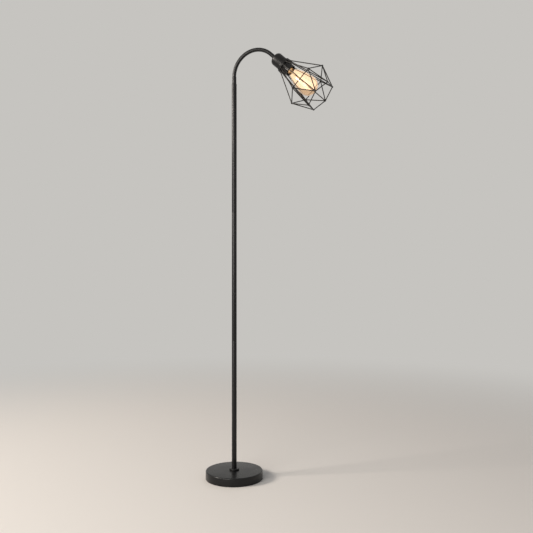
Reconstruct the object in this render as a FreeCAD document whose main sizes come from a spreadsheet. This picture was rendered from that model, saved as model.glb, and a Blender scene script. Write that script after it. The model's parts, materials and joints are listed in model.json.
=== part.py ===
import FreeCAD, Part
import math
import os
import Sketcher

# Floor lamp: a weighted round base, a pole of three tubes, a bent arm that turns in the pole's top,
# a screw lampholder under a domed cup, a cage of straight welded wires, and a pear-shaped bulb.
# Millimetres. The origin is under the middle of the base, +Z is up, and the arm reaches along +X.

DRIVING_SIZES = [
    # base
    ("base_diameter", 220.0),
    ("base_height", 33.0),
    ("base_edge_radius", 4.0),
    ("cover_wall", 1.2),
    ("cover_lift", 1.0),
    ("weight_clearance", 0.3),
    ("weight_plate", 12.0),
    ("weight_rim", 14.0),
    ("pad_thickness", 2.0),
    ("pad_margin", 5.5),
    ("weight_corner_gap", 0.3),
    # cord inlet
    ("inlet_height", 10.0),
    ("inlet_bore", 6.2),
    ("grommet_neck", 9.6),
    ("grommet_flange", 13.0),
    ("grommet_lip", 1.8),
    ("grommet_clearance", 0.1),
    ("grommet_curve_gap", 0.5),
    ("channel_width", 18.0),
    ("channel_height", 18.0),
    # threaded tubes and the fastening under the base
    ("nipple_diameter", 10.0),
    ("nipple_bore", 7.6),
    ("thread_clearance", 0.05),
    ("hole_clearance", 0.2),
    ("nipple_tail", 2.0),
    ("washer_diameter", 30.0),
    ("washer_thickness", 2.0),
    ("lock_washer_diameter", 18.0),
    ("lock_washer_thickness", 1.2),
    ("lock_washer_notch", 2.2),
    ("lock_washer_notches", 10.0),
    ("nut_across_flats", 17.0),
    ("nut_thickness", 6.0),
    # pole
    ("foot_diameter", 38.0),
    ("foot_height", 7.0),
    ("foot_web", 2.0),
    ("foot_edge_radius", 2.0),
    ("pole_diameter", 19.0),
    ("pole_wall", 1.2),
    ("pole_length", 496.0),
    ("pole_tubes", 3.0),
    ("insert_length", 14.0),
    ("insert_clearance", 0.05),
    ("socket_clearance", 0.1),
    # swivel in the pole's top
    ("bush_length", 30.0),
    ("bush_flange", 1.5),
    ("running_clearance", 0.05),
    ("end_gap", 0.3),
    ("stop_ring_height", 6.0),
    # arm
    ("arm_diameter", 14.8),
    ("arm_wall", 1.2),
    ("ferrule_diameter", 16.5),
    ("ferrule_length", 28.0),
    ("ferrule_chamfer", 0.5),
    ("arm_radius", 92.0),
    ("head_tilt", 42.0),
    ("arm_tail", 25.0),
    # lampholder
    ("cap_diameter", 50.0),
    ("cap_length", 47.0),
    ("cap_wall", 1.2),
    ("cap_shoulder", 12.0),
    ("dome_diameter", 43.0),
    ("dome_wall", 2.5),
    ("dome_shoulder", 10.0),
    ("skirt_diameter", 44.0),
    ("skirt_length", 39.0),
    ("skirt_bore", 38.0),
    ("skirt_flange", 4.0),
    ("skirt_clearance", 0.25),
    ("insulator_length", 16.0),
    ("insulator_clearance", 0.15),
    ("shell_diameter", 28.4),
    ("shell_wall", 0.5),
    ("shell_length", 24.0),
    ("contact_width", 7.0),
    ("contact_thickness", 0.5),
    ("contact_rise", 3.2),
    ("screw_diameter", 3.0),
    ("screw_head", 5.6),
    ("screw_head_height", 2.2),
    ("screw_length", 7.0),
    ("screw_spacing", 18.0),
    ("screw_slot", 0.8),
    # cage
    ("collar_diameter", 60.0),
    ("collar_plate", 2.0),
    ("collar_depth", 11.0),
    ("collar_wall", 1.5),
    ("collar_lip", 3.9),
    ("collar_clearance", 0.3),
    ("cage_sides", 6.0),
    ("cage_roll", -4.0),
    ("wire_diameter", 3.6),
    ("wire_root_radius", 28.1),
    ("waist_radius", 87.0),
    ("waist_depth", 125.3),
    ("mouth_radius", 61.2),
    ("mouth_depth", 196.7),
    ("weld_diameter", 7.2),
    # ring that clamps the cage
    ("ring_diameter", 51.4),
    ("ring_length", 9.0),
    ("ring_groove", 2.4),
    ("ring_grooves", 20.0),
    ("ring_groove_depth", 0.6),
    ("seat_gap", 0.3),
    # bulb
    ("bulb_length", 156.0),
    ("bulb_cap_length", 27.0),
    ("bulb_cap_diameter", 26.2),
    ("bulb_cap_wall", 0.4),
    ("bulb_button_diameter", 9.0),
    ("bulb_button_height", 1.5),
    ("bulb_insulator_height", 4.0),
    ("bulb_overlap", 5.0),
    ("glass_diameter", 74.0),
    ("glass_neck_diameter", 25.0),
    ("glass_neck_length", 6.0),
    ("glass_crown", 35.7),
    ("glass_wall", 1.0),
    ("flank_share", 0.08),
    ("flare_edge", 1.0),
    ("flare_height", 7.0),
    ("stem_diameter", 8.0),
    ("stem_length", 32.0),
    ("mast_diameter", 2.0),
    ("mast_length", 76.0),
    ("frame_wire", 0.8),
    ("filament_count", 6.0),
    ("filament_diameter", 1.8),
    ("filament_length", 68.0),
    ("filament_low_radius", 8.0),
    ("filament_top_radius", 13.0),
]

MATCH = 0.01


class Size:
    """A length or angle that carries its number and the sheet formula that the number comes from."""

    def __init__(self, number, formula):
        self.number = number
        self.formula = formula

    def __add__(self, other):
        other = as_size(other)
        return Size(self.number + other.number, f"({self.formula} + {other.formula})")

    def __sub__(self, other):
        other = as_size(other)
        return Size(self.number - other.number, f"({self.formula} - {other.formula})")

    def __mul__(self, other):
        other = as_size(other)
        return Size(self.number * other.number, f"({self.formula} * {other.formula})")

    def __truediv__(self, other):
        other = as_size(other)
        return Size(self.number / other.number, f"({self.formula} / {other.formula})")


def as_size(value):
    """A plain number as a Size; a Size as it is."""
    return value if isinstance(value, Size) else Size(float(value), repr(float(value)))


doc = FreeCAD.newDocument("cage_floor_lamp")
sheet = doc.addObject("Spreadsheet::Sheet", "Sizes")


class Sizes:
    """Every driving size by name."""


s = Sizes()
for row, (alias, number) in enumerate(DRIVING_SIZES, 1):
    sheet.set(f"A{row}", alias.replace("_", " "))
    sheet.set(f"B{row}", str(number))
    sheet.setAlias(f"B{row}", alias)
    setattr(s, alias, Size(number, f"Sizes.{alias}"))
doc.recompute()

ZERO = as_size(0)
nodes = []


def node(part, label, placement=None):
    """Names a finished sub-part, puts it in its place and lists it."""
    part.Label = label
    if placement is not None:
        part.Placement = placement
    nodes.append(part)
    return part


def bind(item, name, size):
    """Sets a property to a size and ties it to the sheet."""
    item.setExpression(name, size.formula)


def lifted(height, base=FreeCAD.Placement()):
    """The placement that lies a height above another, along that placement's own axis."""
    return base.multiply(FreeCAD.Placement(FreeCAD.Vector(0, 0, height.number), FreeCAD.Rotation()))


# ---------------------------------------------------------------- sketches and turned bodies


def origin_plane(body, role):
    """One of a body's own origin planes or axes."""
    return next(item for item in body.Origin.OriginFeatures if item.Role == role)


def new_sketch(body, name, role, offset=ZERO):
    """An empty sketch on a plane of the body, moved along the plane's normal."""
    sketch = body.newObject("Sketcher::SketchObject", name)
    sketch.AttachmentSupport = [(origin_plane(body, role), "")]
    sketch.MapMode = "FlatFace"
    if offset.number:
        bind(sketch, "AttachmentOffset.Base.z", offset)
    return sketch


def hold(sketch, direction, line, point, size):
    """Holds one end of a line at a bound distance from the sketch's origin."""
    index = sketch.addConstraint(Sketcher.Constraint(direction, -1, 1, line, point, size.number))
    if size.formula != ZERO.formula:
        sketch.setExpression(f"Constraints[{index}]", size.formula)


def outline(sketch, corners):
    """A closed outline of straight lines, each corner held across and up from the origin."""
    points = [FreeCAD.Vector(across.number, up.number, 0) for across, up in corners]
    count = len(points)
    for line, point in enumerate(points):
        sketch.addGeometry(Part.LineSegment(point, points[(line + 1) % count]), False)
    for line in range(count):
        sketch.addConstraint(Sketcher.Constraint("Coincident", line, 2, (line + 1) % count, 1))
    for line, (across, up) in enumerate(corners):
        hold(sketch, "DistanceX", line, 1, across)
        hold(sketch, "DistanceY", line, 1, up)


def circles(sketch, rows):
    """Circles, each given by its centre across and up and its diameter."""
    for line, (across, up, diameter) in enumerate(rows):
        middle = FreeCAD.Vector(across.number, up.number, 0)
        sketch.addGeometry(Part.Circle(middle, FreeCAD.Vector(0, 0, 1), diameter.number / 2), False)
        index = sketch.addConstraint(Sketcher.Constraint("Diameter", line, diameter.number))
        sketch.setExpression(f"Constraints[{index}]", diameter.formula)
        hold(sketch, "DistanceX", line, 3, across)
        hold(sketch, "DistanceY", line, 3, up)


def turned(name, corners):
    """A body turned about its Z axis from an outline of (radius, height) corners."""
    body = doc.addObject("PartDesign::Body", name)
    sketch = new_sketch(body, name + "_profile", "XZ_Plane")
    outline(sketch, corners)
    feature = body.newObject("PartDesign::Revolution", name + "_turned")
    feature.Profile = sketch
    feature.ReferenceAxis = (sketch, ["V_Axis"])
    feature.Angle = 360
    doc.recompute()
    return body


def ring_edges(body, wanted):
    """Names of the round edges that have one of the wanted (radius, height) pairs."""
    names = []
    for number, edge in enumerate(body.Tip.Shape.Edges, 1):
        if not isinstance(edge.Curve, Part.Circle):
            continue
        for radius, height in wanted:
            near_radius = abs(edge.Curve.Radius - radius.number) < MATCH
            if near_radius and abs(edge.Curve.Center.z - height.number) < MATCH:
                names.append(f"Edge{number}")
    return names


def rounded(body, kind, size_name, size, wanted):
    """Rounds or chamfers the named round edges of a body."""
    base = body.Tip
    names = ring_edges(body, wanted)
    feature = body.newObject(kind, base.Name + "_" + size_name.lower())
    feature.Base = (base, names)
    bind(feature, size_name, size)
    doc.recompute()
    return feature


def fillet(body, size, wanted):
    """Fillets the round edges that have the wanted (radius, height) pairs."""
    return rounded(body, "PartDesign::Fillet", "Radius", size, wanted)


def chamfer(body, size, wanted):
    """Chamfers the round edges that have the wanted (radius, height) pairs."""
    return rounded(body, "PartDesign::Chamfer", "Size", size, wanted)


def tube(label, outer, bore, length, placement):
    """A plain length of tube, given by its two diameters."""
    corners = [(bore / 2, ZERO), (outer / 2, ZERO), (outer / 2, length), (bore / 2, length)]
    return node(turned(label + "_body", corners), label, placement)


def pocket(body, sketch, depth=None):
    """Cuts a sketch out of a body, to a depth or right through both ways."""
    before = body.Tip.Shape.Volume
    feature = body.newObject("PartDesign::Pocket", sketch.Name + "_cut")
    feature.Profile = sketch
    if depth is None:
        feature.Type = "ThroughAll"
        feature.Midplane = True
    else:
        bind(feature, "Length", depth)
    doc.recompute()
    if before - feature.Shape.Volume < MATCH:
        raise RuntimeError(f"{feature.Name} cuts nothing")
    return feature


def around(body, feature, count):
    """Repeats a feature evenly about the body's Z axis."""
    pattern = body.newObject("PartDesign::PolarPattern", feature.Name + "_around")
    pattern.Originals = [feature]
    pattern.Axis = (origin_plane(body, "Z_Axis"), [""])
    pattern.Angle = 360
    bind(pattern, "Occurrences", count)
    body.Tip = pattern
    doc.recompute()
    return pattern


def group(label, shapes):
    """One node that holds several separate solids."""
    feature = doc.addObject("Part::Feature", label)
    feature.Shape = Part.makeCompound(shapes)
    return node(feature, label)


# ---------------------------------------------------------------- heights up the pole

cover_radius = s.base_diameter / 2
cover_inside = cover_radius - s.cover_wall
weight_radius = cover_inside - s.weight_clearance
weight_top = s.base_height - s.cover_wall
plate_bottom = weight_top - s.weight_plate
nipple_hole = s.nipple_diameter / 2 + s.hole_clearance
nipple_seat = s.nipple_diameter + s.thread_clearance * 2
pole_start = s.base_height + s.foot_web
pole_bore = s.pole_diameter - s.pole_wall * 2
pole_top = pole_start + s.pole_length * s.pole_tubes
bush_top = pole_top + s.bush_flange
washer_bottom = plate_bottom - s.washer_thickness
lock_washer_bottom = washer_bottom - s.lock_washer_thickness
nut_bottom = lock_washer_bottom - s.nut_thickness
nipple_bottom = nut_bottom - s.nipple_tail

# ---------------------------------------------------------------- base

# The shell is a pressed pan, upside down, with a rounded edge and one hole for the threaded tube.
cover_height = s.base_height - s.cover_lift
cover_top_inside = cover_height - s.cover_wall
cover = turned("cover_body", [
    (nipple_hole, cover_height),
    (nipple_hole, cover_top_inside),
    (cover_inside, cover_top_inside),
    (cover_inside, ZERO),
    (cover_radius, ZERO),
    (cover_radius, cover_height),
])
fillet(cover, s.base_edge_radius, [(cover_radius, cover_height)])
fillet(cover, s.base_edge_radius - s.cover_wall, [(cover_inside, cover_top_inside)])
inlet_hole = new_sketch(cover, "inlet_hole", "YZ_Plane", s.weight_rim - cover_radius)
circles(inlet_hole, [(ZERO, s.inlet_height - s.cover_lift, s.grommet_neck + s.grommet_clearance * 2)])
pocket(cover, inlet_hole, s.weight_rim * 2)
node(cover, "base_cover", lifted(s.cover_lift))

# The weight is a casting: a thick plate with a deep rim, hollow underneath, and a channel for the lead.
weight_height = weight_top - s.pad_thickness
weight_plate_bottom = weight_height - s.weight_plate
weight = turned("weight_body", [
    (nipple_hole, weight_height),
    (nipple_hole, weight_plate_bottom),
    (weight_radius - s.weight_rim, weight_plate_bottom),
    (weight_radius - s.weight_rim, ZERO),
    (weight_radius, ZERO),
    (weight_radius, weight_height),
])
fillet(weight, s.base_edge_radius - s.cover_wall + s.weight_corner_gap, [(weight_radius, weight_height)])
channel = new_sketch(weight, "lead_channel", "YZ_Plane", s.weight_rim * 2 - cover_radius)
half_channel = s.channel_width / 2
outline(channel, [
    (ZERO - half_channel, ZERO - s.pad_thickness),
    (half_channel, ZERO - s.pad_thickness),
    (half_channel, s.channel_height - s.pad_thickness),
    (ZERO - half_channel, s.channel_height - s.pad_thickness),
])
pocket(weight, channel, s.weight_rim * 3)
node(weight, "base_weight", lifted(s.pad_thickness))

pad_radius = weight_radius - s.pad_margin
pad = turned("pad_body", [
    (ZERO, ZERO),
    (pad_radius, ZERO),
    (pad_radius, s.pad_thickness),
    (ZERO, s.pad_thickness),
])
node(pad, "base_pad")

# The grommet grips the shell's wall between two lips; its axis points out of the back of the base.
lip_radius = s.grommet_flange / 2
neck_radius = s.grommet_neck / 2
grip = s.cover_wall + s.grommet_curve_gap + s.grommet_clearance
grommet = turned("grommet_body", [
    (s.inlet_bore / 2, ZERO),
    (lip_radius, ZERO),
    (lip_radius, s.grommet_lip),
    (neck_radius, s.grommet_lip),
    (neck_radius, s.grommet_lip + grip),
    (lip_radius, s.grommet_lip + grip),
    (lip_radius, s.grommet_lip * 2 + grip),
    (s.inlet_bore / 2, s.grommet_lip * 2 + grip),
])
outer_lip_top = s.grommet_lip * 2 + grip
fillet(grommet, s.grommet_lip / 2, [(lip_radius, outer_lip_top)])
grommet_start = cover_inside - s.grommet_curve_gap - s.grommet_lip
backwards = FreeCAD.Rotation(FreeCAD.Vector(0, 1, 0), -90)
node(grommet, "cord_grommet", FreeCAD.Placement(
    FreeCAD.Vector(-grommet_start.number, 0, s.inlet_height.number), backwards))

# ---------------------------------------------------------------- fastening under the base

tube("base_washer", s.washer_diameter, nipple_hole * 2, s.washer_thickness, lifted(washer_bottom))

lock_washer = turned("lock_washer_body", [
    (nipple_hole, ZERO),
    (s.lock_washer_diameter / 2, ZERO),
    (s.lock_washer_diameter / 2, s.lock_washer_thickness),
    (nipple_hole, s.lock_washer_thickness),
])
notch = new_sketch(lock_washer, "notch", "XY_Plane")
circles(notch, [(s.lock_washer_diameter / 2, ZERO, s.lock_washer_notch)])
around(lock_washer, pocket(lock_washer, notch), s.lock_washer_notches)
node(lock_washer, "lock_washer", lifted(lock_washer_bottom))

hexagon = doc.addObject("Part::Prism", "nut_hexagon")
hexagon.Polygon = 6
bind(hexagon, "Circumradius", s.nut_across_flats / (2 * math.cos(math.pi / 6)))
bind(hexagon, "Height", s.nut_thickness)
nut_bore = doc.addObject("Part::Cylinder", "nut_bore")
bind(nut_bore, "Radius", nipple_seat / 2)
bind(nut_bore, "Height", s.nut_thickness)
nut = doc.addObject("Part::Cut", "nut")
nut.Base = hexagon
nut.Tool = nut_bore
doc.recompute()
node(nut, "base_nut", lifted(nut_bottom))

base_nipple_top = pole_start + s.insert_length
tube("base_nipple", s.nipple_diameter, s.nipple_bore, base_nipple_top - nipple_bottom,
     lifted(nipple_bottom))

# ---------------------------------------------------------------- pole

foot_radius = s.foot_diameter / 2
pole_socket = s.pole_diameter / 2 + s.socket_clearance
foot = turned("foot_body", [
    (nipple_hole, ZERO),
    (foot_radius, ZERO),
    (foot_radius, s.foot_height),
    (pole_socket, s.foot_height),
    (pole_socket, s.foot_web),
    (nipple_hole, s.foot_web),
])
fillet(foot, s.foot_edge_radius, [(foot_radius, s.foot_height)])
node(foot, "pole_foot", lifted(s.base_height))

for index, label in enumerate(["pole_lower", "pole_middle", "pole_upper"]):
    tube(label, s.pole_diameter, pole_bore, s.pole_length, lifted(pole_start + s.pole_length * index))

# A threaded bush is pressed into each tube end but the topmost, and a short threaded tube joins each pair.
insert_outer = pole_bore - s.insert_clearance * 2
insert = turned("insert_body", [
    (nipple_seat / 2, ZERO),
    (insert_outer / 2, ZERO),
    (insert_outer / 2, s.insert_length),
    (nipple_seat / 2, s.insert_length),
])
joint_nipple = turned("joint_nipple_body", [
    (s.nipple_bore / 2, ZERO),
    (s.nipple_diameter / 2, ZERO),
    (s.nipple_diameter / 2, s.insert_length * 2),
    (s.nipple_bore / 2, s.insert_length * 2),
])
seams = [pole_start + s.pole_length * index for index in range(1, int(s.pole_tubes.number))]
insert_heights = [pole_start] + seams + [seam - s.insert_length for seam in seams]


def copies(master, heights):
    """Copies of a turned piece at several heights up the pole."""
    return [master.Shape.translated(FreeCAD.Vector(0, 0, height.number)) for height in heights]


group("pole_inserts", copies(insert, insert_heights))
group("joint_nipples", copies(joint_nipple, [seam - s.insert_length for seam in seams]))

# ---------------------------------------------------------------- swivel and arm

arm_seat = s.arm_diameter / 2 + s.running_clearance
bush = turned("bush_body", [
    (arm_seat, ZERO),
    (insert_outer / 2, ZERO),
    (insert_outer / 2, s.bush_length),
    (s.pole_diameter / 2, s.bush_length),
    (s.pole_diameter / 2, s.bush_length + s.bush_flange),
    (arm_seat, s.bush_length + s.bush_flange),
])
node(bush, "swivel_bush", lifted(pole_top - s.bush_length))

arm_bore = s.arm_diameter - s.arm_wall * 2
ferrule_start = bush_top + s.end_gap
stop_ring_start = pole_top - s.bush_length - s.end_gap - s.stop_ring_height
arm_start = stop_ring_start
arc_start = ferrule_start + s.ferrule_length

ferrule_bore = s.arm_diameter + s.thread_clearance * 2
ferrule = turned("ferrule_body", [
    (ferrule_bore / 2, ZERO),
    (s.ferrule_diameter / 2, ZERO),
    (s.ferrule_diameter / 2, s.ferrule_length),
    (ferrule_bore / 2, s.ferrule_length),
])
chamfer(ferrule, s.ferrule_chamfer, [(s.ferrule_diameter / 2, s.ferrule_length)])
node(ferrule, "arm_ferrule", lifted(ferrule_start))

stop_ring_outer = pole_bore - s.end_gap * 2
tube("arm_stop_ring", stop_ring_outer, ferrule_bore, s.stop_ring_height, lifted(stop_ring_start))

# The arm runs straight up, turns in one arc past the horizontal, and ends in a short straight tail.
bend = math.radians(90 + s.head_tilt.number)
straight = (arc_start - arm_start).number
bend_radius = s.arm_radius.number


def on_bend(angle):
    """The point of the arm's centre line at an angle round the bend, from the arm's own foot."""
    across = bend_radius * (1 - math.cos(angle))
    return FreeCAD.Vector(across, straight + bend_radius * math.sin(angle), 0)


head_direction = FreeCAD.Vector(math.sin(bend), math.cos(bend), 0)
tail_end = on_bend(bend) + head_direction * s.arm_tail.number
arm = doc.addObject("PartDesign::Body", "arm_body")
spine = new_sketch(arm, "arm_line", "XZ_Plane")
spine.addGeometry(Part.LineSegment(FreeCAD.Vector(0, 0, 0), on_bend(0)), False)
spine.addGeometry(Part.Arc(on_bend(0), on_bend(bend / 2), on_bend(bend)), False)
spine.addGeometry(Part.LineSegment(on_bend(bend), tail_end), False)
spine.addConstraint(Sketcher.Constraint("Coincident", 0, 1, -1, 1))
spine.addConstraint(Sketcher.Constraint("Vertical", 0))
spine.addConstraint(Sketcher.Constraint("Tangent", 0, 2, 1, 2))
spine.addConstraint(Sketcher.Constraint("Tangent", 1, 1, 2, 1))
for line, kind, size in (
    (0, "Distance", arc_start - arm_start),
    (1, "Radius", s.arm_radius),
    (2, "Distance", s.arm_tail),
):
    index = spine.addConstraint(Sketcher.Constraint(kind, line, size.number))
    spine.setExpression(f"Constraints[{index}]", size.formula)
turn_index = spine.addConstraint(Sketcher.Constraint("Angle", 1, bend))
spine.setExpression(f"Constraints[{turn_index}]", (s.head_tilt + 90).formula)
section = new_sketch(arm, "arm_section", "XY_Plane")
circles(section, [(ZERO, ZERO, s.arm_diameter), (ZERO, ZERO, arm_bore)])
doc.recompute()
pipe = arm.newObject("PartDesign::AdditivePipe", "arm_pipe")
pipe.Profile = section
pipe.Spine = (spine, ["Edge1", "Edge2", "Edge3"])
doc.recompute()
node(arm, "arm_tube", lifted(arm_start))

# ---------------------------------------------------------------- the head's own axis

bend_end = on_bend(bend)
head = FreeCAD.Placement(
    FreeCAD.Vector(bend_end.x, 0, arm_start.number + bend_end.y),
    FreeCAD.Rotation(FreeCAD.Vector(0, 1, 0), math.degrees(bend)),
)
cap_back = s.arm_tail
dome_back = cap_back + s.cap_wall
cap_front = cap_back + s.cap_length
skirt_front = cap_front + s.skirt_length
flange_back = cap_front - s.skirt_flange
collar_back = cap_front + s.seat_gap
ring_back = collar_back + s.collar_plate + s.seat_gap

# ---------------------------------------------------------------- lampholder

arm_insert_outer = arm_bore - s.insert_clearance * 2
tube("arm_insert", arm_insert_outer, nipple_seat, s.insert_length,
     lifted(cap_back - s.insert_length, head))
tube("head_nipple", s.nipple_diameter, s.nipple_bore, s.insert_length * 2,
     lifted(cap_back - s.insert_length, head))

cap_radius = s.cap_diameter / 2
cap_inside = cap_radius - s.cap_wall
cap = turned("cap_body", [
    (nipple_hole, ZERO),
    (cap_radius, ZERO),
    (cap_radius, s.cap_length),
    (cap_inside, s.cap_length),
    (cap_inside, s.cap_wall),
    (nipple_hole, s.cap_wall),
])
fillet(cap, s.cap_shoulder, [(cap_radius, ZERO)])
fillet(cap, s.cap_shoulder - s.cap_wall, [(cap_inside, s.cap_wall)])
node(cap, "holder_cap", lifted(cap_back, head))

dome_radius = s.dome_diameter / 2
dome_length = flange_back - dome_back
dome = turned("dome_body", [
    (nipple_seat / 2, ZERO),
    (dome_radius, ZERO),
    (dome_radius, dome_length),
    (dome_radius - s.dome_wall, dome_length),
    (dome_radius - s.dome_wall, s.dome_wall),
    (nipple_seat / 2, s.dome_wall),
])
fillet(dome, s.dome_shoulder, [(dome_radius, ZERO)])
fillet(dome, s.dome_shoulder - s.dome_wall, [(dome_radius - s.dome_wall, s.dome_wall)])
node(dome, "holder_dome", lifted(dome_back, head))

skirt_flange_radius = cap_inside - s.skirt_clearance
skirt_radius = s.skirt_diameter / 2
skirt = turned("skirt_body", [
    (s.skirt_bore / 2, ZERO),
    (skirt_flange_radius, ZERO),
    (skirt_flange_radius, s.skirt_flange),
    (skirt_radius, s.skirt_flange),
    (skirt_radius, s.skirt_flange + s.skirt_length),
    (s.skirt_bore / 2, s.skirt_flange + s.skirt_length),
])
node(skirt, "holder_skirt", lifted(flange_back, head))

# The bulb's contact stops a little short of the spring leaf, and sets where the inner pieces lie.
bulb_seat = skirt_front - s.bulb_cap_length - s.end_gap
insulator_front = bulb_seat - s.contact_rise - s.end_gap
insulator_back = insulator_front - s.insulator_length
insulator_radius = s.skirt_bore / 2 - s.insulator_clearance
insulator = turned("insulator_body", [
    (ZERO, ZERO),
    (insulator_radius, ZERO),
    (insulator_radius, s.insulator_length),
    (ZERO, s.insulator_length),
])
screw_holes = new_sketch(insulator, "screw_holes", "XY_Plane", s.screw_length)
half_spacing = s.screw_spacing / 2
hole_diameter = s.screw_diameter + s.thread_clearance * 2
circles(screw_holes, [
    (ZERO, half_spacing, hole_diameter),
    (ZERO, ZERO - half_spacing, hole_diameter),
])
pocket(insulator, screw_holes, s.screw_length)
node(insulator, "holder_insulator", lifted(insulator_back, head))

screw = turned("terminal_screw_body", [
    (ZERO, ZERO - s.screw_head_height),
    (s.screw_head / 2, ZERO - s.screw_head_height),
    (s.screw_head / 2, ZERO),
    (s.screw_diameter / 2, ZERO),
    (s.screw_diameter / 2, s.screw_length - s.end_gap),
    (ZERO, s.screw_length - s.end_gap),
])
slot = new_sketch(screw, "screw_slot", "XY_Plane", ZERO - s.screw_head_height / 2)
half_head = s.screw_head / 2
outline(slot, [
    (ZERO - half_head, ZERO - s.screw_slot / 2),
    (half_head, ZERO - s.screw_slot / 2),
    (half_head, s.screw_slot / 2),
    (ZERO - half_head, s.screw_slot / 2),
])
pocket(screw, slot, s.screw_head_height)
screw_places = [
    FreeCAD.Vector(0, side * half_spacing.number, insulator_back.number) for side in (-1, 1)
]
group("terminal_screws", [
    screw.Shape.translated(place).transformed(head.toMatrix()) for place in screw_places
])

tube("thread_shell", s.shell_diameter, s.shell_diameter - s.shell_wall * 2, s.shell_length,
     lifted(insulator_front, head))

# The centre contact is a leaf: flat on the insulator, then bent up and forward to meet the bulb.
leaf = doc.addObject("PartDesign::Body", "contact_body")
leaf_side = new_sketch(leaf, "leaf_side", "XZ_Plane")
leaf_half = s.contact_width / 2
outline(leaf_side, [
    (ZERO - leaf_half, ZERO),
    (leaf_half, ZERO),
    (leaf_half + s.contact_thickness, s.contact_thickness),
    (leaf_half / 2, s.contact_rise),
    (ZERO - leaf_half / 2, s.contact_rise),
    (ZERO - leaf_half / 2, s.contact_rise - s.contact_thickness),
    (leaf_half / 2 - s.contact_thickness, s.contact_rise - s.contact_thickness),
    (leaf_half, s.contact_thickness),
    (ZERO - leaf_half, s.contact_thickness),
])
leaf_pad = leaf.newObject("PartDesign::Pad", "leaf_pad")
leaf_pad.Profile = leaf_side
leaf_pad.Midplane = True
bind(leaf_pad, "Length", s.contact_width / 2)
doc.recompute()
node(leaf, "centre_contact", lifted(insulator_front, head))

# ---------------------------------------------------------------- cage

# The wires are worked out about the head's axis, with the back of the collar at zero.
wire_radius = s.wire_diameter.number / 2
weld_radius = s.weld_diameter.number / 2
side_count = int(s.cage_sides.number)
step = 360 / side_count
cage_place = lifted(collar_back, head)


def polar(radius, degrees, depth):
    """A point of the cage, by its distance from the axis, its bearing and its depth."""
    angle = math.radians(degrees)
    return FreeCAD.Vector(radius * math.cos(angle), radius * math.sin(angle), depth)


def waist(index):
    """A corner of the wide hexagon."""
    bearing = s.cage_roll.number + index * step
    return polar(s.waist_radius.number, bearing, s.waist_depth.number)


def mouth(index):
    """A corner of the mouth hexagon, half a side round from the waist corner of the same number."""
    bearing = s.cage_roll.number + (index + 0.5) * step
    return polar(s.mouth_radius.number, bearing, s.mouth_depth.number)


def waist_root(index):
    """Where the wire to a waist corner leaves the collar."""
    return polar(s.wire_root_radius.number, s.cage_roll.number + index * step, s.collar_depth.number)


def mouth_root(index):
    """Where the wire to a mouth corner leaves the collar."""
    bearing = s.cage_roll.number + (index + 0.5) * step
    return polar(s.wire_root_radius.number, bearing, s.collar_depth.number)


def towards(corner, others):
    """Unit directions from a corner to other points."""
    return [(other - corner).normalize() for other in others]


waist_ways = towards(waist(0), [waist(1), waist(-1), mouth(0), mouth(-1), waist_root(0)])
mouth_ways = towards(mouth(0), [mouth(1), mouth(-1), waist(0), waist(1), mouth_root(0)])


def mitre(wire, corner, own_way, ways, reach):
    """Cuts a wire at a corner by the planes that halve its angles with the other wires there."""
    for way in ways:
        normal = way - own_way
        if normal.Length < MATCH:
            continue
        block = Part.makeBox(reach, reach, reach, FreeCAD.Vector(-reach / 2, -reach / 2, 0))
        turn = FreeCAD.Rotation(FreeCAD.Vector(0, 0, 1), normal)
        block.Placement = FreeCAD.Placement(corner, turn).multiply(block.Placement)
        wire = wire.cut(block)
    return wire


def bead(corner):
    """The weld at a corner."""
    return Part.makeSphere(weld_radius, corner)


def turned_ways(ways, index):
    """Directions turned about the axis by a number of sides."""
    turn = FreeCAD.Rotation(FreeCAD.Vector(0, 0, 1), index * step)
    return [turn.multVec(way) for way in ways]


def wire_between(start, finish, start_ways, finish_ways):
    """A straight wire between two corners, mitred against its neighbours and cut back to the welds."""
    way = (finish - start).normalize()
    spare = weld_radius * 2
    reach = spare * 4
    length = (finish - start).Length + spare * 2
    wire = Part.makeCylinder(wire_radius, length, start - way * spare, way)
    wire = mitre(wire, finish, way * -1, finish_ways, reach)
    wire = wire.cut(bead(finish))
    if start_ways:
        wire = mitre(wire, start, way, start_ways, reach)
        wire = wire.cut(bead(start))
    return wire


def about_axis(shape):
    """The copies of a wire or weld at every side of the cage, in place on the head."""
    turned_copies = []
    for index in range(side_count):
        copy = shape.rotated(FreeCAD.Vector(0, 0, 0), FreeCAD.Vector(0, 0, 1), index * step)
        turned_copies.append(copy.transformed(cage_place.toMatrix()))
    return turned_copies


# The collar is a shallow cup whose front edge is turned inwards.
collar_bore = s.skirt_diameter + s.collar_clearance * 2
collar_radius = s.collar_diameter / 2
collar = turned("collar_body", [
    (collar_bore / 2, ZERO),
    (collar_radius, ZERO),
    (collar_radius, s.collar_depth),
    (collar_radius - s.collar_lip, s.collar_depth),
    (collar_radius - s.collar_lip, s.collar_depth - s.collar_wall),
    (collar_radius - s.collar_wall, s.collar_depth - s.collar_wall),
    (collar_radius - s.collar_wall, s.collar_plate),
    (collar_bore / 2, s.collar_plate),
])
node(collar, "cage_collar", lifted(collar_back, head))

# The wires from the collar are cut off at its front face, where they are welded on.
collar_face = Part.makeCylinder(collar_radius.number * 2, s.collar_depth.number)
spoke = wire_between(waist_root(0), waist(0), [], waist_ways).cut(collar_face)
long_wire = wire_between(mouth_root(0), mouth(0), [], mouth_ways).cut(collar_face)
waist_wire = wire_between(waist(0), waist(1), waist_ways, turned_ways(waist_ways, 1))
mouth_wire = wire_between(mouth(0), mouth(1), mouth_ways, turned_ways(mouth_ways, 1))
left_diagonal = wire_between(waist(0), mouth(0), waist_ways, mouth_ways)
right_diagonal = wire_between(waist(1), mouth(0), turned_ways(waist_ways, 1), mouth_ways)

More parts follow.
